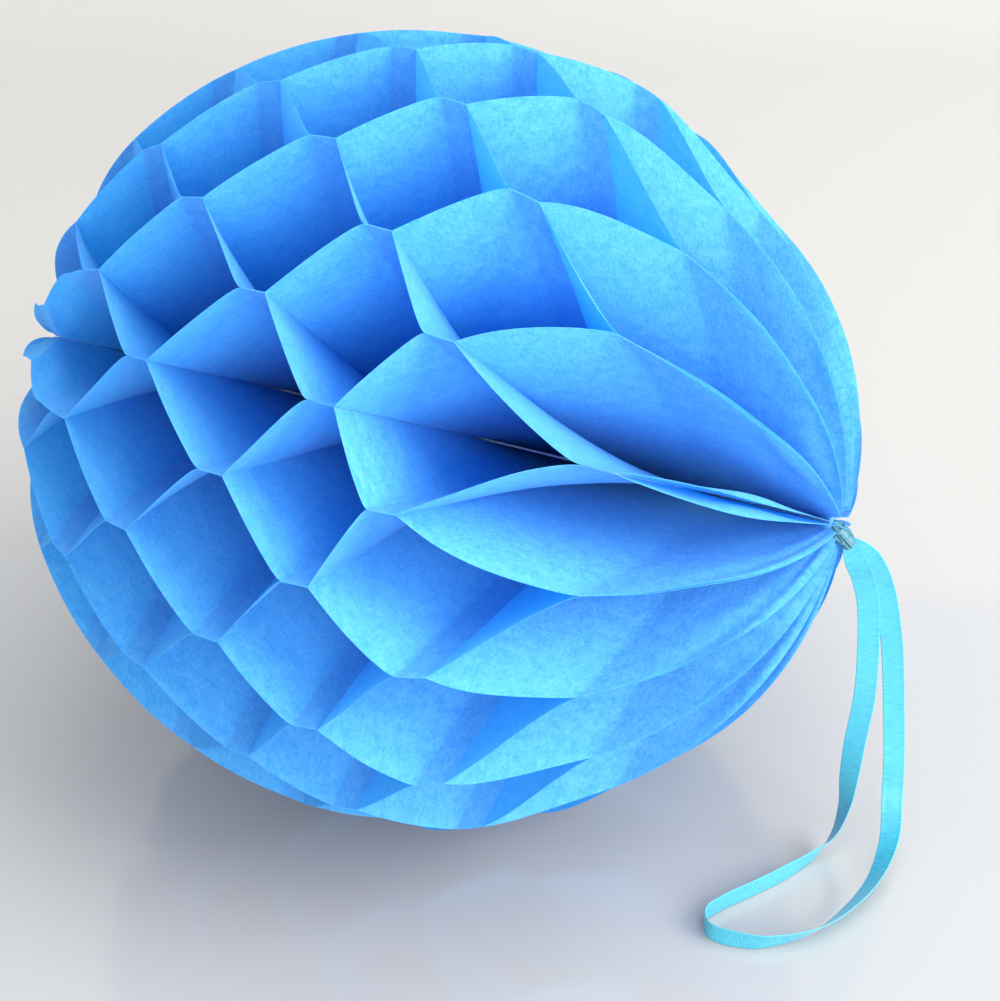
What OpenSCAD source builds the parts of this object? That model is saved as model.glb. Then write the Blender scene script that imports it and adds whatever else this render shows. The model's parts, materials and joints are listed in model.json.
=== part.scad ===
// Paper honeycomb ball: thirty-two tissue leaves bound along one straight spine.
// Each leaf is stuck to the next one along seven glue lines, in turn on its two sides,
// so the opened fan stands as a ball of diamond cells. The spine lies along X and the
// ball stands on the floor, z = 0, where its lowest leaves give a little. The fan opens
// and folds about the spine.

/* [Ball] */
// Length of the ball, from pole to pole
ball_len = 254; // [250:1:260]
// Radius across the spine as a share of half the length
girth = 0.95; // [0.94:0.005:0.965]
// Fullness of the outline between a pole and the middle, where 2 is an ellipse
fullness = 2.05; // [2:0.01:2.1]
// How far the tied ends of the leaves lie inside the poles
dimple = 4; // [3.5:0.1:5]
// How far the upper back has sunk in, as a share of the radius
back_sag = 0.034; // [0:0.002:0.05]
// How much the front and the top are flattened towards the ribbon pole, as a share of the radius
near_flat = 0.1; // [0:0.01:0.12]
// How far the lowest leaves give under the ball
floor_give = 3.2; // [3:0.1:3.4]

/* [Leaves] */
// Thickness of one leaf with its glue
leaf_t = 0.2; // [0.15:0.05:0.2]
// Width of one glue line along the rim
glue_w = 7; // [5:0.5:8]
// How far a pair of leaves parts between its last glue line and the pole, as a share
petal_open = 0.12; // [0:0.02:0.2]

/* [Seam] */
// Space between the two end leaves where they are stuck together
seam_gap = 0.6; // [0.55:0.01:0.65]
// How far the seam pulls the second glue line beside it, as a share of half the length
seam_pull = 0.075; // [0:0.005:0.08]
// Thickness of each spine card
card_t = 0.25; // [0.2:0.01:0.25]
// Width of each spine card, outwards from the spine
card_w = 18; // [12:1:22]
// Length of each spine card
card_len = 200; // [160:5:205]
// Thickness of the seam tapes
tape_t = 0.5; // [0.4:0.01:0.5]

/* [Binding] */
// Radius of the binding cord in the spine
cord_r = 1.3; // [1:0.1:1.4]
// Radius of the stitched knot at each pole
knot_r = 2.6; // [2.2:0.1:3]
// Thickness of the stitched knot at each pole
knot_t = 1.2; // [1:0.1:1.5]

/* [Ribbon] */
// Width of the hanging ribbon
ribbon_w = 6.5; // [6:0.5:7]
// Thickness of the hanging ribbon
ribbon_t = 0.5; // [0.4:0.1:0.8]

/* [Hidden] */
leaf_count = 32;
half_len = ball_len / 2;
leaf_step = 360 / leaf_count;
leaf_r0 = 1.6; // inner edge of every leaf, clear of the binding cord
card_r0 = 7; // from here outwards the end leaves run parallel to the seam
glue_gap = 0.04;
card_gap = 0.02; // between a spine card and its leaf
seam_angle = 146.25; // the seam, turned about +X from +Y
// Glue lines from the ribbon pole to the far pole, as shares of half the length.
// The first, third, fifth and seventh join a leaf to one neighbour, the others to the other.
ring_at = [0.67, 0.37, 0.138, -0.069, -0.305, -0.53, -0.738];
pulled_ring = 1; // number of the glue line that the seam pulls, counted from 0
upper_pull = 0.6; // share of that pull on the seam's upper side
first_pull = 0.04; // how far the seam pulls the first glue line beside it
first_pulled = 30; // leaves from this one on are above the seam and pulled with it
flat_from = [0.37, 0.65]; // the flattening grows between these shares of half the length
flat_angle = 140; // its middle, about +X from +Y
flat_reach = [70, 120]; // full up to the first angle from there, gone at the second
sag_angle = 50; // middle of the sunk stretch, about +X from +Y
sag_power = 6; // how narrow that stretch is
glue_share = glue_w / half_len / 2;
corner = 0.15; // roundness of a leaf's turn out of a glue line, 0 is a fold
// Polar angles of the leaf tips beyond the first and the last glue line
near_tip = [3, 12, 23, 35];
near_tip_end = 46;
far_tip = [153, 166, 177];
far_tip_end = 40;
spine_end = half_len - dimple; // the leaves are tied together up to here
axis_h = rim_r(ring_at[3] + glue_share) - floor_give;
tape_count = 4;
tape_from = 0.5; // a seam tape starts this share of the way from the spine to the rim
tape_bend = 0.75; // and turns to follow the fanning glue line at this share
tape_inset = [0.4, 4]; // it stays this far inside the glue line's sides and its outer end
knot_seat = 0.2; // the stitched knots stand this far off the leaves
ribbon_knot_r = 2.8;
ribbon_knot_l = 7.5;
ribbon_knot_tilt = 45; // the ribbon's knot leans down by this angle
// Route of the ribbon's middle line: out of the knot, down to the floor, round and back up.
// Each row is [x, y, height, direction of the ribbon's width].
ribbon_route = [
    [128.8, -0.5, 112.6, [9, 4, 0]],
    [132.3, 1, 104.5, [9, 4, 0]],
    [134.3, 3, 98, [9, 4, 0]],
    [136.5, 4, 88, [9, 4, 0]],
    [138.2, 4, 69.5, [9, 4, 0]],
    [138.8, 3, 55.5, [9, 2.5, 0]],
    [138, 2, 40.5, [9, 1, 0]],
    [137.7, 1, 26, [9, -2.5, 1]],
    [137.8, -1, 15.3, [6, -6, 2.5]],
    [136.7, -6, 7.7, [3.5, -8, 5]],
    [133, -13, 3.8, [1, -2, 8]],
    [127, -24, 3.4, [0, 0, 1]],
    [121, -33.5, 3.4, [0, 0, 1]],
    [114.5, -43, 3.4, [0, 0, 1]],
    [111, -50.5, 3.4, [0, 0, 1]],
    [114, -56, 3.4, [0, 0, 1]],
    [121, -56.5, 3.4, [0, 0, 1]],
    [131, -53.5, 3.4, [2.5, -1, 9]],
    [142.5, -43.5, 3.4, [4.5, -2, 7.5]],
    [149.3, -30, 3.8, [5.5, -3, 6]],
    [153, -16, 5.2, [6.5, -2.5, 5]],
    [153.4, -3, 10, [8, 0, 3]],
    [151, 5, 20, [8.5, 2.5, 1.5]],
    [149.5, 7, 33, [9, 4, 0]],
    [147.5, 8, 48, [9, 4, 0]],
    [144.8, 8, 69, [9, 4, 0]],
    [142.5, 7, 83, [9, 4, 0]],
    [139.5, 5.5, 96, [9, 4, 0]],
    [135.5, 3, 106, [9, 4, 0]],
    [129.2, 0.5, 112.8, [9, 4, 0]]
];
route_step = 0.5; // rings of the ribbon, as a share of a row
gathered = 0.45; // share of its width that the ribbon keeps at its two ends, in the knot
section_sides = 8;
route_end = len(ribbon_route) - 1;

// Radius of the rim at a share x of half the length: a full ellipse across the spine
function rim_r(x) = girth * half_len * pow(max(0, 1 - pow(abs(x), fullness)), 1 / fullness);
// Where a line that meets the rim at x starts on the spine: the lines fan out inwards
function spine_x(x) = x * (1.25 - (0.25 + dimple / half_len) * x * x);

// Stations along leaf k, each [share of half the length, lean]. The lean is -1 on the
// glue lines of the seam's kind and +1 on the others.
function ring_lean(i) = i % 2 == 0 ? -1 : 1;
function pull(k) = k <= 2 ? seam_pull : k >= leaf_count - 1 ? seam_pull * upper_pull : 0;
function pull_of_first(k) = k == 1 || k >= first_pulled ? first_pull : 0;
function ring_x(k, i) = ring_at[i] - (i == pulled_ring ? pull(k) : i == 0 ? pull_of_first(k) : 0);
function turned(s) = (sqrt(s * s + corner * corner) - corner) / (sqrt(1 + corner * corner) - corner);
function between(k, i, s) = [
    (ring_x(k, i) - glue_share) * (1 - s) + (ring_x(k, i + 1) + glue_share) * s,
    ring_lean(i) * (1 - 2 * turned(s))
];
function glued(k, i) = [for (side = [1, -1]) [ring_x(k, i) + side * glue_share, ring_lean(i)]];
function tip_lean(share) = -1 + petal_open * sin(180 * share);
function stations(k) = concat(
    [for (a = near_tip) [cos(a), tip_lean(a / near_tip_end)]],
    [for (i = [0 : len(ring_at) - 2]) each concat(glued(k, i), [between(k, i, 0.5)])],
    glued(k, len(ring_at) - 1),
    [for (a = far_tip) [cos(a), tip_lean((180 - a) / far_tip_end)]]
);

// Radii of the points on one line of a leaf, from the spine to the rim
function line_r(rim) = let (r1 = min(card_r0, (leaf_r0 + rim) / 2))
    [leaf_r0, r1, r1 + (rim - r1) * 0.5, rim];

// Angle by which a leaf leans to a neighbour at radius r, keeping its own half thickness
// and half the gap c clear of the plane between them
function lean_angle(lean, r, c) = lean * max(0, leaf_step / 2 - c / r * 180 / PI);

function leaf_name(k) = str("leaf_", k < 10 ? "0" : "", k);
function leaf_angle(k) = seam_angle + leaf_step * (k - 0.5);
// Share of the radius that is lost at angle a, by the sunk back and the flattened front
function sunk(a) = back_sag * pow(max(0, cos(a - sag_angle)), sag_power);
function eased(t) = let (c = max(0, min(1, t))) c * c * (3 - 2 * c);
function apart(a, b) = abs((a - b + 540) % 360 - 180);
function flattened(x, a) = near_flat
    * eased((x - flat_from[0]) / (flat_from[1] - flat_from[0]))
    * eased((flat_reach[1] - apart(a, flat_angle)) / (flat_reach[1] - flat_reach[0]));
function lost(x, a) = sunk(a) + flattened(x, a);
// A point at radius r on a ray at angle a, moved off sideways; the floor stops it
function on_ray(x, r, a, off) =
    [x, r * cos(a) - off * sin(a), max(0, axis_h + r * sin(a) + off * cos(a))];

function leaf_point(k, station, r, rim, side) =
    let (v = (r - leaf_r0) / (rim - leaf_r0))
    let (x = spine_x(station[0]) + (station[0] - spine_x(station[0])) * v * v)
    let (turn = k % 2 == 1 ? 1 : -1)
    let (at_seam = station[1] < 0 && (k == 1 || k == leaf_count))
    let (c = at_seam ? (leaf_t + seam_gap) / 2 : (leaf_t + glue_gap) / 2)
    let (towards = leaf_angle(k) + turn * station[1] * leaf_step / 2)
    let (kept = r * (1 - lost(station[0], towards) * v))
    let (a = leaf_angle(k) + turn * lean_angle(station[1], kept, c))
    on_ray(x * half_len, kept, a, side * leaf_t / 2);

function quad(a, b, c, d) = [[a, b, c], [a, c, d]];

// Faces of a thin sheet of n by m points with a second side n * m points later
function sheet_faces(n, m) = let (back = n * m) [
    for (i = [0 : n - 2], j = [0 : m - 2]) let (p = i * m + j) each concat(
        quad(p, p + 1, p + m + 1, p + m),
        quad(back + p, back + p + m, back + p + m + 1, back + p + 1)),
    for (i = [0 : n - 2]) let (p = i * m, q = p + m - 1) each concat(
        quad(p, p + m, back + p + m, back + p),
        quad(q, back + q, back + q + m, q + m)),
    for (j = [0 : m - 2]) let (q = (n - 1) * m + j) each concat(
        quad(j, back + j, back + j + 1, j + 1),
        quad(q, q + 1, back + q + 1, back + q))
];

// One tissue leaf, a half disc whose rim swings from one neighbour to the other
module leaf(k) {
    line = stations(k);
    points = [for (side = [-1, 1], s = line) let (rim = rim_r(s[0])) for (r = line_r(rim))
        leaf_point(k, s, r, rim, side)];
    color(k % 2 == 1 ? "dodgerblue" : "deepskyblue")
        polyhedron(points, sheet_faces(len(line), len(line_r(half_len))));
}

// Puts a flat piece, drawn with x along the spine and y outwards, in the plane of the seam
module in_seam(t, off) {
    translate([0, 0, axis_h]) rotate([seam_angle, 0, 0]) translate([0, 0, off - t / 2])
        linear_extrude(t) children();
}

// White card strip on the seam side of an end leaf, along the spine
module spine_card(side) {
    color("white") in_seam(card_t, side * (seam_gap / 2 - card_gap - card_t / 2))
        translate([-card_len / 2, card_r0 + 0.5]) square([card_len, card_w]);
}

// Double-sided tape on one glue line of the seam, numbered from the ribbon pole
module seam_tape(n) {
    ring = ring_x(1, 2 * n - 2);
    half_w = glue_w / 2 - tape_inset[0];
    // Middle of the tape at share v of the way from the spine to the rim
    function along(v) = (spine_x(ring) + (ring - spine_x(ring)) * v * v) * half_len;
    function radius(v) = (leaf_r0 + (rim_r(ring) - leaf_r0) * v) * (1 - lost(ring, seam_angle) * v);
    line = [for (v = [tape_from, tape_bend]) [along(v), radius(v)],
        [ring * half_len, radius(1) - tape_inset[1]]];
    color("whitesmoke") in_seam(tape_t, 0) polygon(concat(
        [for (p = line) p + [half_w, 0]],
        [for (i = [len(line) - 1 : -1 : 0]) line[i] - [half_w, 0]]));
}

// Cotton cord that the leaves are bound to, from knot to knot
module binding_cord() {
    reach = spine_end + knot_seat;
    color("ivory") translate([-reach, 0, axis_h]) rotate([0, 90, 0])
        cylinder(h = 2 * reach, r = cord_r, $fn = 24);
}

// Stitched knot that closes one end of the binding, a button with a rounded edge
module pole_knot(end) {
    color("aliceblue") translate([end * (spine_end + knot_seat), 0, axis_h])
        rotate([0, end * 90, 0]) rotate_extrude($fn = 32) polygon([[0, 0], [knot_r, 0],
            [knot_r, knot_t * 0.5], [knot_r * 0.8, knot_t], [0, knot_t]]);
}

// Knot that ties the ribbon to the ball, a leaning bead that widens away from the pole
module ribbon_knot() {
    r = ribbon_knot_r;
    l = ribbon_knot_l;
    color("turquoise") translate([spine_end + knot_seat + knot_t, 0, axis_h])
        rotate([0, 90 + ribbon_knot_tilt, 0]) rotate_extrude($fn = 32)
            polygon([[0, 0], [r * 0.6, 0], [r, l * 0.5], [r * 0.9, l * 0.9], [r * 0.6, l], [0, l]]);
}

function route_at(i) = let (p = ribbon_route[i]) [p[0], p[1], p[2]];
function unit(v) = v / norm(v);
// Catmull-Rom curve through p1 and p2 at share s between them
function curve(p0, p1, p2, p3, s) = p1
    + (p2 - p0) * s / 2
    + (2 * p0 - 5 * p1 + 4 * p2 - p3) * s * s / 2
    + (3 * p1 - p0 - 3 * p2 + p3) * s * s * s / 2;
function clamp_row(i) = max(0, min(route_end, i));
function path_point(u) = let (i = min(floor(u), route_end - 1))
    curve(route_at(clamp_row(i - 1)), route_at(i), route_at(i + 1), route_at(clamp_row(i + 2)), u - i);
function path_width(u) = let (i = min(floor(u), route_end - 1))
    unit(ribbon_route[i][3]) * (1 - u + i) + unit(ribbon_route[i + 1][3]) * (u - i);
// Width of the ribbon: it spreads out over its first and its last row
function width_at(u) =
    ribbon_w * (gathered + (1 - gathered) * sin(90 * min(1, u, route_end - u)));
function section_point(u, a) =
    let (nudge = 0.1)
    let (run = unit(path_point(min(route_end, u + nudge)) - path_point(max(0, u - nudge))))
    let (raw = path_width(u))
    let (wide = unit(raw - run * (raw * run)))
    let (thick = cross(run, wide))
    path_point(u) + wide * cos(a) * width_at(u) / 2 + thick * sin(a) * ribbon_t / 2;

// Satin ribbon loop, one flat tube along the route
module ribbon_loop() {
    sides = section_sides;
    steps = [0 : route_step : route_end];
    rings = route_end / route_step + 1;
    points = [for (u = steps, k = [0 : sides - 1]) section_point(u, k * 360 / sides)];
    walls = [for (i = [0 : rings - 2], k = [0 : sides - 1])
        let (p = i * sides + k, q = i * sides + (k + 1) % sides)
        each quad(p, p + sides, q + sides, q)];
    ends = [[for (k = [0 : sides - 1]) k], [for (k = [1 : sides]) rings * sides - k]];
    color("turquoise") polyhedron(points, concat(walls, ends));
}

for (k = [1 : leaf_count]) leaf(k);
spine_card(1);  // spine_card_fixed
spine_card(-1);  // spine_card_moving
for (n = [1 : tape_count]) seam_tape(n);
binding_cord();
pole_knot(1);  // pole_knot_ribbon_end
pole_knot(-1);  // pole_knot_far_end
ribbon_knot();
ribbon_loop();
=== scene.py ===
"""Paper honeycomb ball with its ribbon loop, resting on a pale glossy floor."""

import json
import logging
import math
from dataclasses import dataclass, field
from enum import Enum

import bpy
import numpy as np
from mathutils import Matrix, Vector


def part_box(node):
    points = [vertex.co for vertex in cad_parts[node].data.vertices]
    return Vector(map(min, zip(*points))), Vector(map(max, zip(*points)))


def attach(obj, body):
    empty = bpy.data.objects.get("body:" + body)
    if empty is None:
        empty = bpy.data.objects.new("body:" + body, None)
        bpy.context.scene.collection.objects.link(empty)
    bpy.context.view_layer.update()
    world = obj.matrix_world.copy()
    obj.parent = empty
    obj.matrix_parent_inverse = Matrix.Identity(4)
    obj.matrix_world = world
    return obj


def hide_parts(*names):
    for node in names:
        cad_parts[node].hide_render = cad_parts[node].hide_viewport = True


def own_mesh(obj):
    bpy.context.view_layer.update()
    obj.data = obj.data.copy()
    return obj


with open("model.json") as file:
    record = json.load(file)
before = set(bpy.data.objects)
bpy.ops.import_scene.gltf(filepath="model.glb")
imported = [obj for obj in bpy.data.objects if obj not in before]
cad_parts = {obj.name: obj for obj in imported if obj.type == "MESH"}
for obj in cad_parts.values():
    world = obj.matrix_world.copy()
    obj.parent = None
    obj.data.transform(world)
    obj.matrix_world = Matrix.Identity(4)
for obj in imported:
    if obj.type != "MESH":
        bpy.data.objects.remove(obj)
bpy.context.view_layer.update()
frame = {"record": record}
LOG = logging.getLogger("honeycomb_ball")
MM = 0.001
SEED = 20
FAN_DEG = 348.75
FOLD_DEG = 344.0
PRESSED = 0.85


class GlueKind(Enum):
    """Which neighbour a leaf leans to on a glue line, as the sign of its lean."""

    SEAM_SIDE = -1.0
    OTHER_SIDE = 1.0

    @classmethod
    def of_ring(cls, number: int) -> "GlueKind":
        """The kind of a glue line, counted from 0 at the ribbon pole: they take turns."""
        return cls.SEAM_SIDE if number % 2 == 0 else cls.OTHER_SIDE


# ---------------------------------------------------------------- mesh makers


def unit_rows(v: np.ndarray) -> np.ndarray:
    """Every row vector of an array divided by its own length."""
    return v / np.maximum(np.linalg.norm(v, axis=-1, keepdims=True), 1e-12)


def grid_faces(rows: int, cols: int, close_rows: bool = False, close_cols: bool = False) -> np.ndarray:
    """Quads of a grid of points numbered row by row.

    Args:
        rows: number of rows of points.
        cols: number of points in a row.
        close_rows: whether the last row joins the first.
        close_cols: whether the last point of a row joins the first.

    Returns:
        An array of four point numbers for each quad, turning from rows to columns.
    """
    r = np.arange(rows if close_rows else rows - 1)[:, None]
    c = np.arange(cols if close_cols else cols - 1)[None, :]
    r2, c2 = (r + 1) % rows, (c + 1) % cols
    return np.stack([r * cols + c, r2 * cols + c, r2 * cols + c2, r * cols + c2], -1).reshape(-1, 4)


def outward(points: np.ndarray, faces: list[np.ndarray]) -> list[np.ndarray]:
    """Faces of a closed surface, turned over if its signed volume is negative.

    The volume is a sixth of the sum of p0 . (p1 x p2) over fans of triangles.
    """
    volume = 0.0
    for block in faces:
        for i in range(1, block.shape[1] - 1):
            a, b, c = points[block[:, 0]], points[block[:, i]], points[block[:, i + 1]]
            volume += np.sum(a * np.cross(b, c)) / 6
    return faces if volume > 0 else [block[:, ::-1] for block in faces]


def new_mesh(name: str, points: np.ndarray, faces: list[np.ndarray], uv: np.ndarray,
             sharp_deg: float = 180.0) -> bpy.types.Object:
    """Makes a mesh object at the origin from whole arrays.

    Args:
        name: the object's name.
        points: one row of x, y, z for each point, in metres.
        faces: blocks of point numbers, each block with faces of one size.
        uv: one row of two numbers for each point, in metres on the flat sheet.
        sharp_deg: edges that fold by more than this are shaded sharp.

    Returns:
        The object, linked to the scene.
    """
    mesh = bpy.data.meshes.new(name)
    mesh.from_pydata(points, [], [face for block in faces for face in block.tolist()])
    layer = mesh.uv_layers.new(name="sheet")
    corner = np.empty(len(mesh.loops), np.int32)
    mesh.loops.foreach_get("vertex_index", corner)
    layer.data.foreach_set("uv", uv[corner].astype(np.float32).ravel())
    mesh.polygons.foreach_set("use_smooth", np.ones(len(mesh.polygons), bool))
    if sharp_deg < 180:
        mesh.set_sharp_from_angle(angle=math.radians(sharp_deg))
    mesh.update()
    obj = bpy.data.objects.new(name, mesh)
    bpy.context.scene.collection.objects.link(obj)
    return obj


@dataclass
class Shell:
    """Closed surfaces gathered as arrays before they become one mesh."""

    points: np.ndarray = field(default_factory=lambda: np.empty((0, 3)))
    faces: list = field(default_factory=list)
    uv: np.ndarray = field(default_factory=lambda: np.empty((0, 2)))

    def join(self, points: np.ndarray, faces: list[np.ndarray], uv: np.ndarray) -> "Shell":
        """Adds one closed surface and turns its faces outwards."""
        faces = outward(points - points.mean(axis=0), faces)
        self.faces += [block + len(self.points) for block in faces]
        self.points = np.concatenate([self.points, points])
        self.uv = np.concatenate([self.uv, uv])
        return self

    def sheet(self, middle: np.ndarray, thick_dir: np.ndarray, thickness: float, flat: np.ndarray) -> "Shell":
        """Adds a thin sheet round a middle surface.

        The two sides are the middle surface moved half the thickness each way along
        thick_dir, and a strip of quads joins them all round the edge.

        Args:
            middle: points of the middle surface, rows by columns by 3.
            thick_dir: unit directions of the same shape.
            thickness: full thickness in metres.
            flat: rows by columns by 2, the place of each point on the flat sheet.

        Returns:
            The shell itself.
        """
        n, m = middle.shape[:2]
        half = thick_dir * thickness / 2
        points = np.concatenate([(middle - half).reshape(-1, 3), (middle + half).reshape(-1, 3)])
        side = grid_faces(n, m)
        rim = np.concatenate([np.arange(m), np.arange(1, n) * m + m - 1,
                              (n - 1) * m + np.arange(m - 2, -1, -1), np.arange(n - 2, 0, -1) * m])
        after = np.roll(rim, -1)
        edge = np.stack([rim, after, after + n * m, rim + n * m], -1)
        faces = np.concatenate([side, side[:, ::-1] + n * m, edge])
        return self.join(points, [faces], np.concatenate([flat.reshape(-1, 2)] * 2))

    def tube(self, line: np.ndarray, side: np.ndarray, outline: np.ndarray) -> "Shell":
        """Adds a closed tube of any section along a line.

        Ring i is the outline laid out in the plane square to the line at point i: its first
        number along side made square to the line, its second along their cross product.

        Args:
            line: the middle line, rows of x, y, z.
            side: rough direction of the outline's first axis at each point.
            outline: section points, k by 2, or one set for each ring, n by k by 2.

        Returns:
            The shell itself.
        """
        run = unit_rows(np.gradient(line, axis=0))
        wide = unit_rows(side - run * np.sum(side * run, axis=1, keepdims=True))
        high = np.cross(run, wide)
        ring = np.broadcast_to(outline, (len(line),) + outline.shape[-2:])
        points = line[:, None] + wide[:, None] * ring[..., :1] + high[:, None] * ring[..., 1:]
        n, k = points.shape[:2]
        along = np.concatenate([[0], np.cumsum(np.linalg.norm(np.diff(line, axis=0), axis=1))])
        uv = np.stack([np.broadcast_to(along[:, None], (n, k)), ring[..., 0]], -1).reshape(-1, 2)
        a = np.arange(k)
        b = (a + 1) % k
        caps = np.concatenate([np.stack([0 * a + n * k, a, b], -1),
                               np.stack([0 * a + n * k + 1, b + (n - 1) * k, a + (n - 1) * k], -1)])
        return self.join(np.concatenate([points.reshape(-1, 3), line[[0, -1]]]),
                         [grid_faces(n, k, close_cols=True), caps[:, ::-1]],
                         np.concatenate([uv, [[0, 0], [along[-1], 0]]]))

    def make(self, name: str, finish: bpy.types.Material, node: str, slot: str,
             sharp_deg: float = 50.0) -> bpy.types.Object:
        """Makes the mesh of one piece, dresses it and puts it in the place of its CAD node.

        Args:
            name: the piece's name.
            finish: its material.
            node: the CAD node it stands for, whose body it rides on.
            slot: the material slot of that node; it is not used.
            sharp_deg: edges that fold by more than this are shaded sharp.

        Returns:
            The finished object.
        """
        obj = new_mesh(name, self.points, self.faces, self.uv, sharp_deg)
        obj.data.materials.append(finish)
        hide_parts(node)
        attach(obj, body_holding(node))
        LOG.info("%s stands for %s: %d faces", name, node, len(obj.data.polygons))
        return obj


def body_holding(node: str) -> str:
    """Name of the body that holds a CAD node."""
    bodies = frame["record"]["behaviour"]["bodies"]
    return next(body for body, nodes in bodies.items() if node in nodes)


def eased(t: np.ndarray) -> np.ndarray:
    """Smooth step: 0 up to 0, 1 from 1 on, c^2 (3 - 2c) between."""
    c = np.clip(t, 0, 1)
    return c * c * (3 - 2 * c)


def circle(count: int) -> np.ndarray:
    """Angles of points evenly round a circle, in radians."""
    return np.arange(count) * 2 * math.pi / count


def catmull(points: np.ndarray, per_span: int) -> np.ndarray:
    """Smooth curve through points, the Catmull-Rom one.

    Args:
        points: rows of any width; the end rows are repeated outwards.
        per_span: how many steps are made between two neighbouring points.

    Returns:
        Rows along the curve, first and last point included.
    """
    p = np.concatenate([points[:1], points, points[-1:]])
    s = (np.arange(per_span) / per_span)[None, :, None]
    p0, p1, p2, p3 = (p[i:len(p) - 3 + i][:, None, :] for i in range(4))
    body = (p1 + (p2 - p0) * s / 2 + (2 * p0 - 5 * p1 + 4 * p2 - p3) * s ** 2 / 2
            + (3 * p1 - p0 - 3 * p2 + p3) * s ** 3 / 2)
    return np.concatenate([body.reshape(-1, points.shape[1]), points[-1:]])


# ------------------------------------------------------------------ finishes


class NodeKit:
    """Short ways to add shader nodes to one material."""

    def __init__(self, name: str) -> None:
        """Starts an empty node tree with its output."""
        self.material = bpy.data.materials.new(name)
        self.material.use_nodes = True
        self.tree = self.material.node_tree
        self.tree.nodes.clear()
        self.out = self.tree.nodes.new("ShaderNodeOutputMaterial")

    def add(self, kind: str, inputs: dict | None = None, **props) -> bpy.types.Node:
        """Adds a node, sets its properties, and sets or links its inputs."""
        node = self.tree.nodes.new("ShaderNode" + kind)
        for key, value in props.items():
            setattr(node, key, value)
        for key, value in (inputs or {}).items():
            if isinstance(value, bpy.types.NodeSocket):
                self.tree.links.new(value, node.inputs[key])
            else:
                node.inputs[key].default_value = value
        return node

    def noise(self, vector: bpy.types.NodeSocket, scale: float, detail: float = 3.0,
              rough: float = 0.55) -> bpy.types.NodeSocket:
        """A noise value between about 0 and 1."""
        return self.add("TexNoise", {"Vector": vector, "Scale": scale, "Detail": detail,
                                     "Roughness": rough}).outputs["Fac"]

    def ramp(self, value: bpy.types.NodeSocket, stops: list) -> bpy.types.NodeSocket:
        """A colour ramp of [place, colour] stops."""
        node = self.add("ValToRGB", {"Fac": value})
        cr = node.color_ramp
        for i, (place, colour) in enumerate(stops):
            stop = cr.elements[i] if i < 2 else cr.elements.new(place)
            stop.position = place
            stop.color = (*colour, 1.0)
        return node.outputs["Color"]

    def math(self, kind: str, a, b=0.0) -> bpy.types.NodeSocket:
        """A math node on numbers or sockets."""
        return self.add("Math", {0: a, 1: b}, operation=kind).outputs[0]

    def stretched(self, source: bpy.types.NodeSocket, scale: tuple) -> bpy.types.NodeSocket:
        """A vector scaled apart along its axes."""
        return self.add("Mapping", {"Vector": source, "Scale": scale}).outputs["Vector"]

    def bump(self, height: bpy.types.NodeSocket, strength: float, distance: float) -> bpy.types.NodeSocket:
        """A bump normal from a height."""
        node = self.add("Bump", {"Height": height, "Strength": strength, "Distance": distance})
        return node.outputs["Normal"]

    def finish(self, shader: bpy.types.Node) -> bpy.types.Material:
        """Links the last shader to the output."""
        self.tree.links.new(shader.outputs[0], self.out.inputs["Surface"])
        return self.material


@dataclass(frozen=True)
class TissueFinish:
    """Blue tissue paper: fibres, a cloudy sheet, and light that comes through."""

    name: str = "blue tissue"
    deep: tuple = (0.10, 0.50, 0.90)
    fair: tuple = (0.22, 0.70, 0.99)
    through: tuple = (0.16, 0.67, 0.995)
    see_through: float = 0.55
    fibre_scale: float = 1300.0
    cloud_scale: float = 260.0
    shares: tuple = (0.45, 0.3, 0.25)
    roughness: float = 0.8

    def material(self) -> bpy.types.Material:
        """Builds the material from the sheet's own UV."""
        k = NodeKit(self.name)
        flat = k.add("UVMap", uv_map="sheet").outputs["UV"]
        fibre = k.noise(k.stretched(flat, (1.0, 0.4, 1.0)), self.fibre_scale, 5.0, 0.7)
        cross = k.noise(k.stretched(flat, (0.35, 1.0, 1.0)), self.fibre_scale * 1.3, 4.0, 0.7)
        cloud = k.noise(flat, self.cloud_scale, 3.0)
        parts = [k.math("MULTIPLY", part, share) for part, share in zip((fibre, cross, cloud), self.shares)]
        mixed = k.math("ADD", k.math("ADD", parts[0], parts[1]), parts[2])
        colour = k.ramp(mixed, [(0.42, self.deep), (0.58, self.fair)])
        normal = k.bump(mixed, 0.6, 0.0008)
        front = k.add("BsdfPrincipled", {"Base Color": colour, "Roughness": self.roughness, "Normal": normal,
                                         "Specular IOR Level": 0.2, "Sheen Weight": 0.1,
                                         "Sheen Roughness": 0.5})
        behind = k.add("BsdfTranslucent", {"Color": (*self.through, 1.0), "Normal": normal})
        both = k.add("MixShader", {0: self.see_through, 1: front.outputs[0], 2: behind.outputs[0]})
        return k.finish(both)


@dataclass(frozen=True)
class CardFinish:
    """White card or tape with a slight fibre."""

    name: str = "white card"
    colour: tuple = (0.82, 0.84, 0.86)
    roughness: float = 0.7

    def material(self) -> bpy.types.Material:
        """Builds the material."""
        k = NodeKit(self.name)
        place = k.add("TexCoord").outputs["Object"]
        grain = k.noise(place, 1200.0, 4.0)
        dark = tuple(c * 0.93 for c in self.colour)
        colour = k.ramp(grain, [(0.3, dark), (0.7, self.colour)])
        return k.finish(k.add("BsdfPrincipled", {"Base Color": colour, "Roughness": self.roughness,
                                                 "Normal": k.bump(grain, 0.2, 0.0002)}))


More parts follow.
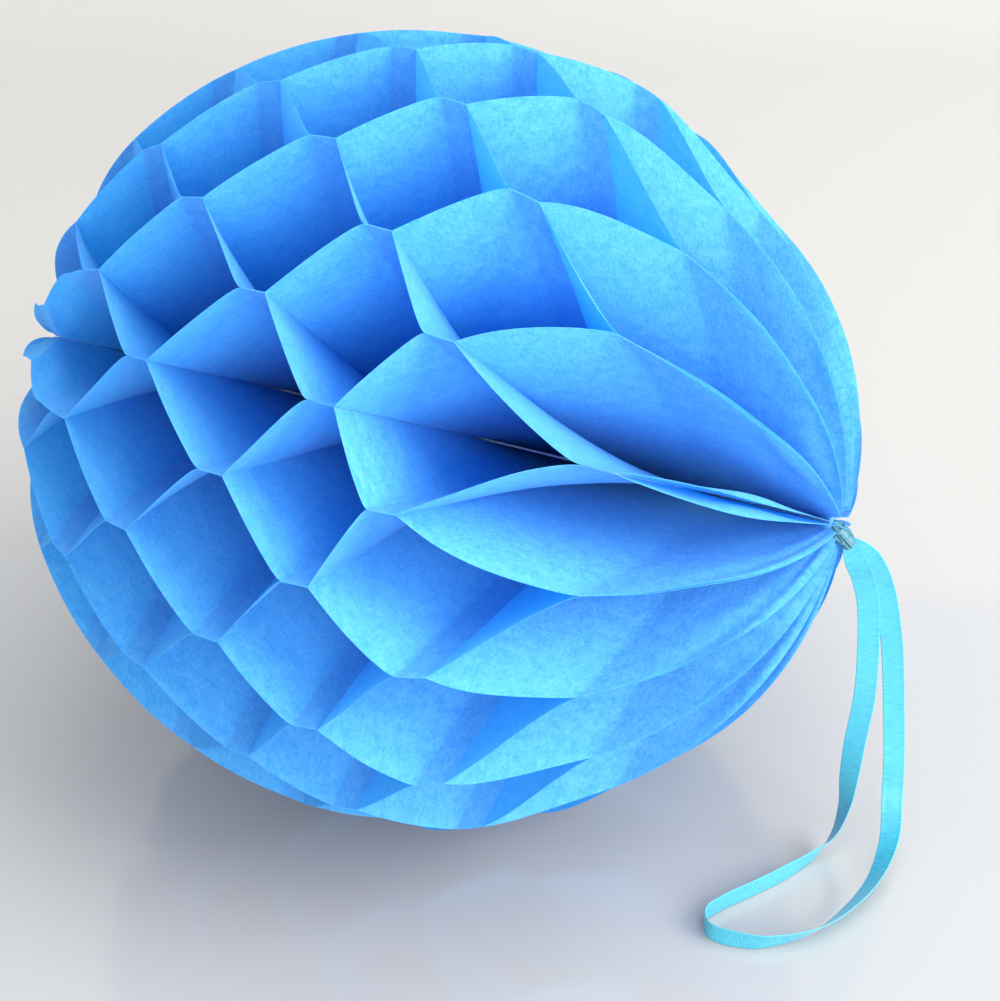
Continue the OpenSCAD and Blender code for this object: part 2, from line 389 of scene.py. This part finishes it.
@dataclass(frozen=True)
class ThreadFinish:
    """Twisted cotton thread."""

    name: str = "cotton thread"
    colour: tuple = (0.07, 0.30, 0.58)

    def material(self) -> bpy.types.Material:
        """Builds the material."""
        k = NodeKit(self.name)
        place = k.add("TexCoord").outputs["Object"]
        fuzz = k.noise(place, 2500.0, 5.0, 0.7)
        dark = tuple(c * 0.7 for c in self.colour)
        colour = k.ramp(fuzz, [(0.3, dark), (0.7, self.colour)])
        return k.finish(k.add("BsdfPrincipled", {"Base Color": colour, "Roughness": 0.85,
                                                 "Sheen Weight": 0.1, "Normal": k.bump(fuzz, 0.5, 0.0003)}))


@dataclass(frozen=True)
class SatinFinish:
    """Turquoise satin ribbon: fine weft lines and a broad shine."""

    name: str = "turquoise satin"
    colour: tuple = (0.065, 0.46, 0.60)
    shade: tuple = (0.040, 0.33, 0.46)
    sheen: float = 0.2
    weft_per_m: float = 3500.0

    def material(self) -> bpy.types.Material:
        """Builds the material from the ribbon's own UV, along and across."""
        k = NodeKit(self.name)
        flat = k.add("UVMap", uv_map="sheet").outputs["UV"]
        weft = k.noise(k.stretched(flat, (1.0, 0.08, 1.0)), self.weft_per_m, 2.0)
        colour = k.ramp(weft, [(0.3, self.shade), (0.65, self.colour)])
        return k.finish(k.add("BsdfPrincipled", {
            "Base Color": colour, "Roughness": 0.34, "Anisotropic": 0.5, "Specular IOR Level": 0.7,
            "Sheen Weight": self.sheen, "Sheen Roughness": 0.3, "Normal": k.bump(weft, 0.25, 0.00015)}))


# ---------------------------------------------------------------- the ball


@dataclass(frozen=True)
class BallForm:
    """Sizes of the ball, shared by everything in it. Shares are of half the length.

    folded_share is what is left of a leaf's lean once the fan is folded: the share of the
    fan's angle that the fold leaves open, pressed a little flatter so that neighbours stay clear.
    """

    half_len: float
    axis_h: float
    girth: float = 0.95
    fullness: float = 2.05
    dimple: float = 4 * MM
    back_sag: float = 0.034
    sag_deg: float = 50.0
    sag_power: float = 6.0
    near_flat: float = 0.1
    flat_from: tuple = (0.37, 0.65)
    flat_deg: float = 140.0
    flat_reach: tuple = (70.0, 120.0)
    glue_w: float = 7 * MM
    leaf_count: int = 32
    seam_deg: float = 146.25
    seam_pull: float = 0.075
    upper_pull: float = 0.6
    first_pull: float = 0.04
    first_pulled: int = 30
    inner_r: float = 1.6 * MM
    folded_share: float = PRESSED * (1 - FOLD_DEG / FAN_DEG)
    ring_at: tuple = (0.67, 0.37, 0.138, -0.069, -0.305, -0.53, -0.738)

    @property
    def step(self) -> float:
        """Angle from a leaf to the next, in radians."""
        return 2 * math.pi / self.leaf_count

    @property
    def glue_half(self) -> float:
        """Half a glue line's width as a share of half the length."""
        return self.glue_w / self.half_len / 2

    def rim_r(self, x: np.ndarray) -> np.ndarray:
        """Radius of the rim at share x: girth (1 - |x|^n)^(1/n), n being the fullness."""
        inside = np.clip(1 - np.abs(x) ** self.fullness, 0, 1)
        return self.girth * self.half_len * inside ** (1 / self.fullness)

    def spine_x(self, x: np.ndarray) -> np.ndarray:
        """Where a line that meets the rim at x starts on the spine: lines fan out inwards."""
        return x * (1.25 - (0.25 + self.dimple / self.half_len) * x * x)

    def lost(self, x: np.ndarray, a: np.ndarray) -> np.ndarray:
        """Share of the radius that is lost at share x and angle a.

        The upper back has sunk by a power of the cosine of the angle from its middle, and
        towards the ribbon pole the front and the top are flattened by a smooth step in x
        times a smooth step in the angle from their middle.
        """
        sunk = self.back_sag * np.clip(np.cos(a - math.radians(self.sag_deg)), 0, 1) ** self.sag_power
        apart = np.abs((np.degrees(a) - self.flat_deg + 540) % 360 - 180)
        along = eased((x - self.flat_from[0]) / (self.flat_from[1] - self.flat_from[0]))
        around = eased((self.flat_reach[1] - apart) / (self.flat_reach[1] - self.flat_reach[0]))
        return sunk + self.near_flat * along * around

    def above_floor(self, a: np.ndarray, r: np.ndarray) -> np.ndarray:
        """Radius at angle a once the floor stops the rays that point down."""
        return np.minimum(r, self.axis_h / np.clip(-np.sin(a), 1e-3, 1))

    def seam_ring(self, number: int) -> float:
        """Where a glue line of the seam, counted from 0, meets the rim."""
        return self.ring_at[number] - (self.first_pull if number == 0 else 0.0)

    def leaf_angle(self, k: int) -> float:
        """Angle of leaf k about +X from +Y, in radians."""
        return math.radians(self.seam_deg) + self.step * (k - 0.5)

    def fold_flat(self, piece: bpy.types.Object, k: int) -> None:
        """Gives a piece its own copy of its mesh data."""
        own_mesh(piece)

    def place(self, x: np.ndarray, r: np.ndarray, a: np.ndarray) -> np.ndarray:
        """Points at x metres along the spine, radius r and angle a."""
        return np.stack([x + 0 * r, r * np.cos(a), self.axis_h + r * np.sin(a)], -1)


@dataclass
class LeafFan:
    """The thirty-two tissue leaves, each its own sheet riding on its own body."""

    form: BallForm
    paper: bpy.types.Material
    thickness: float = 0.09 * MM
    glue_gap: float = 0.03 * MM
    seam_gap: float = 0.6 * MM
    seam_shut: float = 0.14 * MM
    card_end_r: float = 26 * MM
    shut_over: float = 12 * MM
    lip_from: tuple = (0.60, 0.70)
    lip_depth: float = 0.24
    lip_open: float = 0.95
    lip_to: tuple = (0.80, 0.97)
    span_steps: int = 22
    glue_steps: int = 3
    tip_steps: int = 40
    line_steps: int = 26
    first_tip_deg: float = 3.0
    corner: float = 0.09
    late: float = 2.2
    pair_open: float = 0.05
    seam_open: float = 0.42
    wobble: float = 0.5 * MM
    shared_wobble: float = 3.0
    shared_seed: int = 100
    waves: int = 5
    waves_along: float = 5.0
    waves_out: float = 2.5
    sheet_apart: tuple = (0.37, 0.11)
    sharp_deg: float = 24.0

    def turned(self, s: np.ndarray) -> np.ndarray:
        """How far a leaf has crossed over at share s of the way between two glue lines.

        A hyperbola through 0 and 1: it leaves the first glue line in a round bend, runs
        nearly straight, and meets the second at a sharp edge.
        """
        c = self.corner
        return (np.sqrt(s * s + c * c) - c) / (math.sqrt(1 + c * c) - c)

    def stations(self, k: int) -> tuple[np.ndarray, np.ndarray, np.ndarray, np.ndarray]:
        """Lines of leaf k from the ribbon pole to the far pole.

        Returns:
            The share of half the length where each line meets the rim, its lean, how free
            it is to move (0 on a glue line, 1 midway), and how far into a tip it is.
        """
        f = self.form
        ring = np.array(f.ring_at)
        if k == 1 or k >= f.first_pulled:
            ring[0] -= f.first_pull
        if k <= 2:
            ring[1] -= f.seam_pull
        if k >= f.leaf_count - 1:
            ring[1] -= f.seam_pull * f.upper_pull
        first = math.radians(self.first_tip_deg)
        parts = []

        def add(x: np.ndarray, lean: np.ndarray, free: np.ndarray, tip: np.ndarray) -> None:
            """Adds a run of lines."""
            parts.append(np.stack([x, lean + 0 * x, free + 0 * x, tip + 0 * x]))

        last = math.acos(ring[0] + f.glue_half)
        t = np.linspace(0, 1, self.tip_steps, endpoint=False)
        add(np.cos(first + (last - first) * t), -1, 0, 1 - t)
        for i, x in enumerate(ring):
            sign = GlueKind.of_ring(i).value
            add(np.linspace(x + f.glue_half, x - f.glue_half, self.glue_steps, endpoint=False), sign, 0, 0)
            if i < len(ring) - 1:
                s = np.linspace(0, 1, self.span_steps, endpoint=False) ** 1.25
                at_end = i == len(ring) - 2 and k in (1, f.leaf_count)
                add((x - f.glue_half) * (1 - s) + (ring[i + 1] + f.glue_half) * s,
                    sign * (1 - 2 * self.turned(s ** self.late if at_end else s)), np.sin(math.pi * s), 0)
        start = math.acos(ring[-1] - f.glue_half)
        t = np.linspace(0, 1, self.tip_steps)
        add(np.cos(start + (math.pi - first - start) * t), -1, 0, t)
        return tuple(np.concatenate(parts, axis=1))

    def ripple(self, u: np.ndarray, v: np.ndarray, seed: int) -> np.ndarray:
        """A smooth random wave on the sheet, a sum of a few waves of seeded directions."""
        rng = np.random.default_rng(SEED + seed)
        total = 0 * u * v
        for along, out, start, weight in rng.uniform(-1, 1, (self.waves, 4)):
            turns = u * along * self.waves_along + v * out * self.waves_out + start
            total = total + np.sin(2 * math.pi * turns) * (0.5 + weight / 2)
        return total / (self.waves / 2)

    def leaf_points(self, k: int) -> tuple[np.ndarray, np.ndarray, np.ndarray]:
        """Middle surface of leaf k.

        A point's place along the spine is x = spine_x + (rim_x - spine_x) v^2, where v runs
        from the spine to the rim. Its radius grows evenly with v, less the lost share times v.
        Its angle is the leaf's own plus its lean to a neighbour, which is half a step less the
        angle that half the gap takes at radius r. On the two end leaves the gap shuts past the
        cards, and towards the far pole the rim leans away from the seam as an open lip. A
        seeded wave moves whatever no glue line holds, and the floor stops what points down.

        Args:
            k: the leaf's number, from 1.

        Returns:
            Points, thickness directions and flat places, each rows by columns.
        """
        f = self.form
        share, lean, free, tip = (a[:, None] for a in self.stations(k))
        v = np.linspace(0, 1, self.line_steps)[None, :] ** 0.9
        rim = f.rim_r(share)
        r = f.inner_r + (rim - f.inner_r) * v
        x = (f.spine_x(share) + (share - f.spine_x(share)) * v * v) * f.half_len
        turn = 1 if k % 2 == 1 else -1
        at_seam = k in (1, f.leaf_count)
        r = r * (1 - f.lost(share, f.leaf_angle(k) + turn * lean * f.step / 2) * v)
        shut = eased((r - self.card_end_r) / self.shut_over)
        seam_gap = self.seam_gap + (self.seam_shut - self.seam_gap) * shut
        gap = np.where((lean < 0) & at_seam, seam_gap, self.glue_gap)
        opened = self.seam_open if at_seam else self.pair_open
        in_tip = np.sin(math.pi * np.clip(tip, 0, 1)) * (tip > 0)
        lean = lean + opened * in_tip ** 0.8 * v ** 0.5
        if at_seam:
            far = (eased((-share - self.lip_from[0]) / (self.lip_from[1] - self.lip_from[0]))
                   * eased((share + self.lip_to[1]) / (self.lip_to[1] - self.lip_to[0])))
            outer = eased((v - 1 + self.lip_depth) / self.lip_depth)
            lean = np.minimum(1, lean + self.lip_open * far * outer)
        free_angle = np.maximum(0, f.step / 2 - (gap + self.thickness) / 2 / r)
        angle = f.leaf_angle(k) + turn * lean * free_angle
        pair = (k // 2) % (f.leaf_count // 2)
        own = self.ripple(share, v, k) * (free + in_tip * opened)
        shared = self.ripple(share, v, self.shared_seed + pair) * in_tip * self.shared_wobble
        angle = angle + self.wobble * (own + shared) * v / np.maximum(r, 5 * MM)
        r = f.above_floor(angle, r)
        points = f.place(x, r, angle)
        across = np.stack([0 * angle, -np.sin(angle), np.cos(angle)], -1)
        flat = np.stack([f.spine_x(share) * f.half_len + 0 * r + self.sheet_apart[0] * k,
                         r + self.sheet_apart[1] * k], -1)
        return points, across, flat

    def build(self) -> None:
        """Makes every leaf and dresses it."""
        f = self.form
        for k in range(1, f.leaf_count + 1):
            node = f"leaf_{k:02d}"
            points, across, flat = self.leaf_points(k)
            leaf = Shell().sheet(points, across, self.thickness, flat).make(
                f"tissue_{node}", self.paper, node, "blue_tissue", self.sharp_deg)
            f.fold_flat(leaf, k)


@dataclass
class SeamParts:
    """What lies in the seam: a card on each end leaf and the tapes that hold them shut."""

    form: BallForm
    card: bpy.types.Material
    tape: bpy.types.Material
    card_from: float = 7.5 * MM
    card_w: float = 18 * MM
    card_len: float = 200 * MM
    card_t: float = 0.25 * MM
    card_off: float = 0.155 * MM
    corner_r: float = 5 * MM
    spread: float = 0.9 * MM
    spread_from: float = 74 * MM
    tape_t: float = 0.08 * MM
    tape_w: float = 6.2 * MM
    tape_inset: float = 4 * MM
    last_inset: float = 21 * MM
    tape_from: float = 0.5
    tape_count: int = 4
    card_grid: tuple = (121, 13)
    tape_grid: tuple = (25, 5)

    def in_seam(self, x: np.ndarray, r: np.ndarray, off: np.ndarray) -> np.ndarray:
        """Points at x along the spine, r out from it, and off to the upper side of the seam."""
        f = self.form
        a = math.radians(f.seam_deg)
        return f.place(x, r, a) + np.stack([0 * off, -math.sin(a) * off, math.cos(a) * off], -1)

    def card_strip(self, side: int) -> Shell:
        """One card: a long strip with round corners that opens with its leaf near the pole.

        At x its half width is what a corner circle leaves, and it is lifted by a half sine
        from spread_from to the end of the spine, in proportion to the radius.
        """
        end = self.card_len / 2
        x = -np.cos(np.linspace(0, math.pi, self.card_grid[0]))[:, None] * end
        t = np.linspace(-1, 1, self.card_grid[1])[None, :]
        into = np.clip(np.abs(x) - (end - self.corner_r), 0, self.corner_r)
        half = self.card_w / 2 - self.corner_r + np.sqrt(self.corner_r ** 2 - into ** 2)
        r = self.card_from + self.card_w / 2 + t * half
        share = np.clip((x - self.spread_from) / (self.form.half_len - self.spread_from), 0, 1)
        lift = self.spread * np.sin(math.pi * share) * r / (self.card_from + self.card_w)
        off = side * (self.card_off + lift)
        middle = self.in_seam(x + 0 * t, r, off)
        a = math.radians(self.form.seam_deg)
        across = np.broadcast_to([0, -math.sin(a), math.cos(a)], middle.shape)
        return Shell().sheet(middle, across, self.card_t, np.stack([x + 0 * t, r], -1))

    def tape_strip(self, ring: float, inset: float) -> Shell:
        """One tape: it follows a glue line from half way out to an inset from the rim.

        Its middle is x = spine_x + (ring - spine_x) v^2 at the share v of the way out.
        """
        f = self.form
        a = math.radians(f.seam_deg)
        rim = f.rim_r(np.array(ring))
        v = np.linspace(self.tape_from, 1 - inset / rim, self.tape_grid[0])[:, None]
        t = np.linspace(-1, 1, self.tape_grid[1])[None, :]
        x = (f.spine_x(ring) + (ring - f.spine_x(ring)) * v * v) * f.half_len + t * self.tape_w / 2
        r = (f.inner_r + (rim - f.inner_r) * v) * (1 - f.lost(ring, a) * v) + 0 * t
        middle = self.in_seam(x, r, 0 * r)
        across = np.broadcast_to([0, -math.sin(a), math.cos(a)], middle.shape)
        return Shell().sheet(middle, across, self.tape_t, np.stack([x, r], -1))

    def build(self) -> None:
        """Makes both cards and the four tapes."""
        f = self.form
        for side, node, k in ((1, "spine_card_fixed", 1), (-1, "spine_card_moving", f.leaf_count)):
            f.fold_flat(self.card_strip(side).make(f"paper_{node}", self.card, node, "white_card"), k)
        for n in range(1, self.tape_count + 1):
            inset = self.last_inset if n == self.tape_count else self.tape_inset
            strip = self.tape_strip(f.seam_ring(2 * n - 2), inset)
            tape = strip.make(f"gummed_tape_{n}", self.tape, f"seam_tape_{n}", "white_tape")
            f.fold_flat(tape, 1)


@dataclass
class Binding:
    """The twisted cord in the spine and the stitched knot at each of its ends."""

    form: BallForm
    cotton: bpy.types.Material
    thread: bpy.types.Material
    cord_r: float = 1.25 * MM
    pitch: float = 7 * MM
    strands: int = 3
    knot_r: float = 2.5 * MM
    knot_t: float = 1.2 * MM
    thread_w: float = 0.5 * MM
    tail_r: float = 0.22 * MM
    tail_from: float = 0.6 * MM
    ridge: float = 0.09 * MM
    knot_base: float = 0.2 * MM
    knot_edge: float = 0.35

    def cord(self) -> Shell:
        """The cord: a tube whose radius swells over each strand, turned once in a pitch."""
        end = self.form.half_len - self.form.dimple
        x = np.linspace(-end, end, 480)
        a = circle(24)
        turn = 2 * math.pi * x[:, None] / self.pitch
        r = self.cord_r * (0.9 + 0.1 * np.abs(np.cos(self.strands * (a + turn) / 2)))
        line = np.stack([x, 0 * x, 0 * x + self.form.axis_h], -1)
        outline = np.stack([r * np.cos(a), r * np.sin(a)], -1)
        return Shell().tube(line, np.tile([0.0, 1.0, 0.0], (len(x), 1)), outline)

    def knot(self, end: int) -> Shell:
        """A pad of wound thread: a low dome with a spiral ridge one thread wide.

        Its height at radius r and angle a is the dome's, plus a ripple in r / thread + a.
        """
        start = self.form.half_len - self.form.dimple
        t = np.linspace(0, 1, 40)
        a = circle(48)
        r = self.knot_r * np.sin(t * math.pi / 2)[:, None] + 0 * a
        ripple = self.ridge * np.sin(2 * math.pi * r / self.thread_w + a) * np.clip(r / self.thread_w, 0, 1)
        dome = np.cos(t * math.pi / 2)[:, None] ** 0.7
        high = self.knot_t * (self.knot_edge + (1 - self.knot_edge) * dome) + ripple
        low = self.knot_base + 0 * a[None, :]
        rings_r = np.concatenate([r[1:], r[-1:] * 0.98, r[-1:] * 0.5])
        rings_x = np.concatenate([high[1:], low, low])
        points = np.stack([end * (start + rings_x), rings_r * np.cos(a),
                           self.form.axis_h + rings_r * np.sin(a)], -1)
        n, k = points.shape[:2]
        b = np.arange(k)
        c = (b + 1) % k
        caps = np.concatenate([np.stack([0 * b + n * k, c, b], -1),
                               np.stack([0 * b + n * k + 1, b + (n - 1) * k, c + (n - 1) * k], -1)])
        tops = np.array([[end * (start + self.knot_t), 0, self.form.axis_h],
                         [end * (start + self.knot_base), 0, self.form.axis_h]])
        uv = np.stack([rings_r, rings_x], -1).reshape(-1, 2)
        return Shell().join(np.concatenate([points.reshape(-1, 3), tops]),
                            [grid_faces(n, k, close_cols=True), caps], np.concatenate([uv, [[0, 0], [0, 0]]]))

    def tail(self, shell: Shell) -> Shell:
        """Adds the cut end of the thread, a short fine tube that curls out of the knot."""
        start = self.form.half_len - self.form.dimple + self.tail_from
        rough = MM * np.array([
            [0, -0.5, 0.6], [1.4, -1.2, 0.9], [3.0, -1.2, 0.2], [4.6, -0.6, -0.6], [5.8, 0.2, -0.5]])
        line = catmull(rough + [start, 0, self.form.axis_h], 6)
        thin = self.tail_r * np.linspace(1, 0.7, len(line))[:, None, None]
        outline = thin * np.stack([np.cos(circle(8)), np.sin(circle(8))], -1)
        return shell.tube(line, np.tile([0.0, 0.0, 1.0], (len(line), 1)), outline)

    def build(self) -> None:
        """Makes the cord and both knots."""
        self.cord().make("twisted_binding_cord", self.cotton, "binding_cord", "cotton_cord", 40)
        near = self.tail(self.knot(1))
        near.make("thread_knot_ribbon_end", self.thread, "pole_knot_ribbon_end", "knot_thread")
        self.knot(-1).make("thread_knot_far_end", self.thread, "pole_knot_far_end", "knot_thread")


# ---------------------------------------------------------------- the ribbon


@dataclass
class RibbonHanger:
    """The satin loop that hangs from one pole and lies on the floor."""

    form: BallForm
    satin: bpy.types.Material
    # the loop's own satin painted much darker, as shade, for the knot
    shaded_knot_satin: bpy.types.Material
    width: float = 6.5 * MM
    thickness: float = 0.35 * MM
    length: float = 0.36
    per_span: int = 8
    knot_l: float = 8.6 * MM
    knot_r: float = 2.8 * MM
    gathered: float = 0.42
    gather_over: float = 9 * MM
    knot_from: float = 1.0 * MM
    knot_flat: float = 0.72
    band_at: float = 0.42
    band_w: float = 3.4 * MM
    band_t: float = 0.5 * MM
    band_wave: float = 0.5 * MM

    def route(self) -> tuple[np.ndarray, np.ndarray]:
        """Points of the ribbon's middle line, metres, and the direction of its width."""
        place = MM * np.array([
            [128.8, -0.5, 112.6], [132.3, 1, 104.5], [134.3, 3, 98], [136.5, 4, 88], [138.2, 4, 69.5],
            [138.8, 3, 55.5], [138, 2, 40.5], [137.7, 1, 26], [137.8, -1, 15.3], [136.7, -6, 7.7],
            [133, -13, 3.8], [127, -24, 3.4], [121, -33.5, 3.4], [114.5, -43, 3.4],
            [111, -50.5, 3.4], [114, -56, 3.4], [121, -56.5, 3.4], [131, -53.5, 3.4],
            [142.5, -43.5, 3.4], [149.3, -30, 3.8], [153, -16, 5.2], [153.4, -3, 10], [151, 5, 20],
            [149.5, 7, 33], [147.5, 8, 48], [144.8, 8, 69], [142.5, 7, 83], [139.5, 5.5, 96],
            [135.5, 3, 106], [129.2, 0.5, 112.8]])
        width = np.array([
            [9, 4, 0], [9, 4, 0], [9, 4, 0], [9, 4, 0], [9, 4, 0], [9, 2.5, 0], [9, 1, 0],
            [9, -2.5, 1], [6, -6, 2.5], [3.5, -8, 5], [1, -2, 8], [0, 0, 1], [0, 0, 1],
            [0, 0, 1], [0, 0, 1], [0, 0, 1], [0, 0, 1], [2.5, -1, 9], [4.5, -2, 7.5],
            [5.5, -3, 6], [6.5, -2.5, 5], [8, 0, 3], [8.5, 2.5, 1.5], [9, 4, 0], [9, 4, 0],
            [9, 4, 0], [9, 4, 0], [9, 4, 0], [9, 4, 0], [9, 4, 0]])
        return place, unit_rows(width)

    def knot(self) -> Shell:
        """The ribbon's knot: a gathered bundle that widens away from the pole, and its wrap.

        The bundle's radius swells as a sine along its run and has shallow pleats round it,
        and the wrap is one flat band laid across it.
        """
        f = self.form
        start = np.array([f.half_len - f.dimple + self.knot_from, 0, f.axis_h])
        s = np.linspace(0, 1, 25)[:, None]
        lean = np.array([1, 0, -1]) / math.sqrt(2)
        line = start + lean * s * self.knot_l
        a = circle(40)
        swell = self.knot_r * (0.5 + 0.5 * np.sin(math.pi * s ** 0.8 * 0.82))
        r = swell * (1 + 0.10 * np.cos(7 * a + 2 * s) + 0.05 * np.cos(11 * a - 3 * s))
        outline = np.stack([r * np.cos(a), self.knot_flat * r * np.sin(a)], -1)
        side = np.tile([0.0, 1.0, 0.0], (len(line), 1))
        shell = Shell().tube(line, side, outline)
        turn = np.linspace(0, 2 * math.pi, 60)
        band_r = self.knot_r * 0.9
        loop = start + lean * (self.band_at * self.knot_l + self.band_wave * np.sin(turn))[:, None] + (
            np.cos(turn)[:, None] * np.array([0, 1.0, 0]) * band_r
            + np.sin(turn)[:, None] * np.array([1, 0, 1]) / math.sqrt(2) * band_r * 0.8)
        flat = self.flat_outline(self.band_w, self.band_t)
        return shell.tube(loop, np.tile(lean, (len(loop), 1)), flat)

    def flat_outline(self, width: float, thickness: float) -> np.ndarray:
        """Section of a woven ribbon: flat, with a slightly thicker selvedge on each side."""
        across = np.array([-1, -0.96, -0.86, -0.5, 0, 0.5, 0.86, 0.96, 1])
        swell = np.array([0.35, 1.0, 0.62, 0.6, 0.6, 0.6, 0.62, 1.0, 0.35])
        outline = np.concatenate([np.stack([across, -swell], -1), np.stack([across[::-1], swell[::-1]], -1)])
        return outline * [width / 2, thickness / 2]

    def build(self) -> None:
        # The knot wears the loop's satin painted darker: painted shade where it sits in the pinch.
        self.knot().make("ribbon_hitch", self.shaded_knot_satin, "ribbon_knot", "ribbon_satin", 40)
        points, width = self.route()
        line = catmull(points, self.per_span)
        spans = np.arange(len(line)) / self.per_span
        side = np.stack([np.interp(spans, np.arange(len(width)), width[:, i]) for i in range(3)], -1)
        run = np.concatenate([[0], np.cumsum(np.linalg.norm(np.diff(line, axis=0), axis=1))])
        from_end = np.minimum(run, run[-1] - run) / self.gather_over
        narrow = self.gathered + (1 - self.gathered) * np.sin(np.clip(from_end, 0, 1) * math.pi / 2)
        scale = np.stack([narrow, 1 + 0 * narrow], -1)[:, None]
        outline = self.flat_outline(self.width, self.thickness) * scale
        ribbon = Shell().tube(line, side, outline).make(
            "satin_ribbon_loop", self.satin, "ribbon_loop", "ribbon_satin", 60)
        LOG.info("ribbon: %.3f m", run[-1])


# ---------------------------------------------------------------- studio


@dataclass
class Studio:
    """Camera, lights and floor."""

    form: BallForm
    azimuth: float = 26.9
    elevation: float = 31.3
    roll: float = -1.1
    distance: float = 0.592
    lens: float = 69.4
    aim_right: float = 0.03057
    aim_down: float = 0.03772
    edge_behind: float = 0.097
    edge_skew: float = 0.15
    edge_soft: float = 0.02
    table_colour: tuple = (0.38, 0.386, 0.39)
    wall_colour: tuple = (0.395, 0.39, 0.378)
    table_roughness: float = 0.13
    wall_rougher: float = 0.7
    backdrop: tuple = (1.1, 0.5, 2.2)
    floor_front: float = 3.0
    floor_side: float = 2.8

    def camera(self) -> None:
        """Puts the camera where the ball fills the view from its ribbon side."""
        a, e, r = (math.radians(d) for d in (self.azimuth, self.elevation, self.roll))
        back = Vector((math.sin(a) * math.cos(e), -math.cos(a) * math.cos(e), math.sin(e)))
        right = Vector((math.cos(a), math.sin(a), 0))
        up = back.cross(right)
        right, up = right * math.cos(r) + up * math.sin(r), up * math.cos(r) - right * math.sin(r)
        place = Vector((0, 0, self.form.axis_h)) + back * self.distance
        look = (-back + right * self.aim_right - up * self.aim_down).normalized()
        right = look.cross(up).normalized()
        up = right.cross(look)
        data = bpy.data.cameras.new("camera")
        data.lens = self.lens
        data.sensor_width = 36
        data.clip_start, data.clip_end = 0.02, 50
        cam = bpy.data.objects.new("camera", data)
        cam.matrix_world = Matrix((
            (right.x, up.x, -look.x, place.x), (right.y, up.y, -look.y, place.y),
            (right.z, up.z, -look.z, place.z), (0, 0, 0, 1)))
        bpy.context.scene.collection.objects.link(cam)
        bpy.context.scene.camera = cam

    def floor(self) -> None:
        """A glossy table top that passes softly into a pale backdrop curving up behind.

        The change from one to the other is a smooth step across a line that runs a little
        askew to the view, a hand's width behind the middle of the ball.
        """
        turn = np.linspace(0, math.pi / 2, 24)
        depth, bend, rise = self.backdrop
        curve = np.stack([depth - bend + bend * np.sin(turn), bend - bend * np.cos(turn)], -1)
        section = np.concatenate([[[-self.floor_front, 0.0]], curve, [[depth, rise]]])
        x = np.linspace(-self.floor_side, self.floor_side, 9)
        a = math.radians(self.azimuth)
        back = np.array([-math.sin(a), math.cos(a), 0])
        right = np.array([math.cos(a), math.sin(a), 0])
        points = (section[:, None, :1] * back + x[None, :, None] * right
                  + section[:, None, 1:] * np.array([0, 0, 1.0]))
        faces = grid_faces(len(section), len(x))[:, ::-1]
        floor = new_mesh("studio_floor", points.reshape(-1, 3), [faces], points[..., :2].reshape(-1, 2))
        k = NodeKit("pale floor")
        place = k.add("TexCoord").outputs["Object"]
        across = back + self.edge_skew * right
        behind = k.add("VectorMath", {0: place, 1: tuple(across)}, operation="DOT_PRODUCT").outputs["Value"]
        begin, end = self.edge_behind - self.edge_soft, self.edge_behind + self.edge_soft
        beyond = k.add("MapRange", {0: behind, 1: begin, 2: end},
                       interpolation_type="SMOOTHSTEP").outputs[0]
        colour = k.ramp(beyond, [(0.0, self.table_colour), (1.0, self.wall_colour)])
        gloss = k.math("ADD", k.math("MULTIPLY", beyond, self.wall_rougher), self.table_roughness)
        floor.data.materials.append(k.finish(k.add("BsdfPrincipled", {
            "Base Color": colour, "Roughness": gloss, "Specular IOR Level": 0.8})))

    def lights(self) -> None:
        """Soft studio light: a broad one from the right, one above, one in front, and a sky."""
        def area(name: str, place: tuple, size: float, power: float, colour: tuple) -> None:
            """Adds one square soft light that looks at the ball."""
            data = bpy.data.lights.new(name, "AREA")
            data.size, data.energy, data.color = size, power, colour
            lamp = bpy.data.objects.new(name, data)
            lamp.location = place
            aim = Vector((0, 0, self.form.axis_h)) - Vector(place)
            lamp.rotation_mode = "QUATERNION"
            lamp.rotation_quaternion = aim.to_track_quat("-Z", "Y")
            bpy.context.scene.collection.objects.link(lamp)
        area("key", (2.6, 0.2, 1.5), 2.2, 108, (1.0, 0.99, 0.97))
        area("top", (0.4, 0.1, 2.2), 1.8, 32, (1.0, 1.0, 1.0))
        area("fill", (1.5, -2.0, 0.6), 1.6, 58, (1.0, 1.0, 1.0))
        world = bpy.data.worlds.new("soft sky")
        bpy.context.scene.world = world
        world.use_nodes = True
        sky = world.node_tree.nodes["Background"]
        sky.inputs["Color"].default_value = (0.98, 0.985, 1.0, 1)
        sky.inputs["Strength"].default_value = 1.0
        bpy.context.scene.view_settings.view_transform = "Standard"

    def build(self) -> None:
        """Makes everything that isn't the object."""
        self.camera()
        self.floor()
        self.lights()


def main() -> None:
    """Builds the ball piece by piece."""
    logging.basicConfig(level=logging.INFO, format="%(name)s: %(message)s")
    tip_share = math.cos(math.radians(LeafFan.first_tip_deg))
    form = BallForm(half_len=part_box("leaf_01")[1][0] / tip_share,
                    axis_h=(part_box("binding_cord")[0][2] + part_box("binding_cord")[1][2]) / 2)
    Studio(form).build()
    # The knot's satin is the loop's satin painted much darker and without sheen: painted shade, not a
    # different ribbon.
    shaded_knot_satin = SatinFinish("knot satin painted shade", (0.016, 0.17, 0.24), (0.010, 0.10, 0.15), 0.0)
    RibbonHanger(form, SatinFinish().material(), shaded_knot_satin.material()).build()
    LeafFan(form, TissueFinish().material()).build()
    tape = CardFinish("gummed tape", (0.80, 0.84, 0.88), 0.5)
    SeamParts(form, CardFinish().material(), tape.material()).build()
    cotton = ThreadFinish("cotton cord", (0.8, 0.84, 0.88))
    Binding(form, cotton.material(), ThreadFinish().material()).build()


if __name__ == "__main__":
    main()
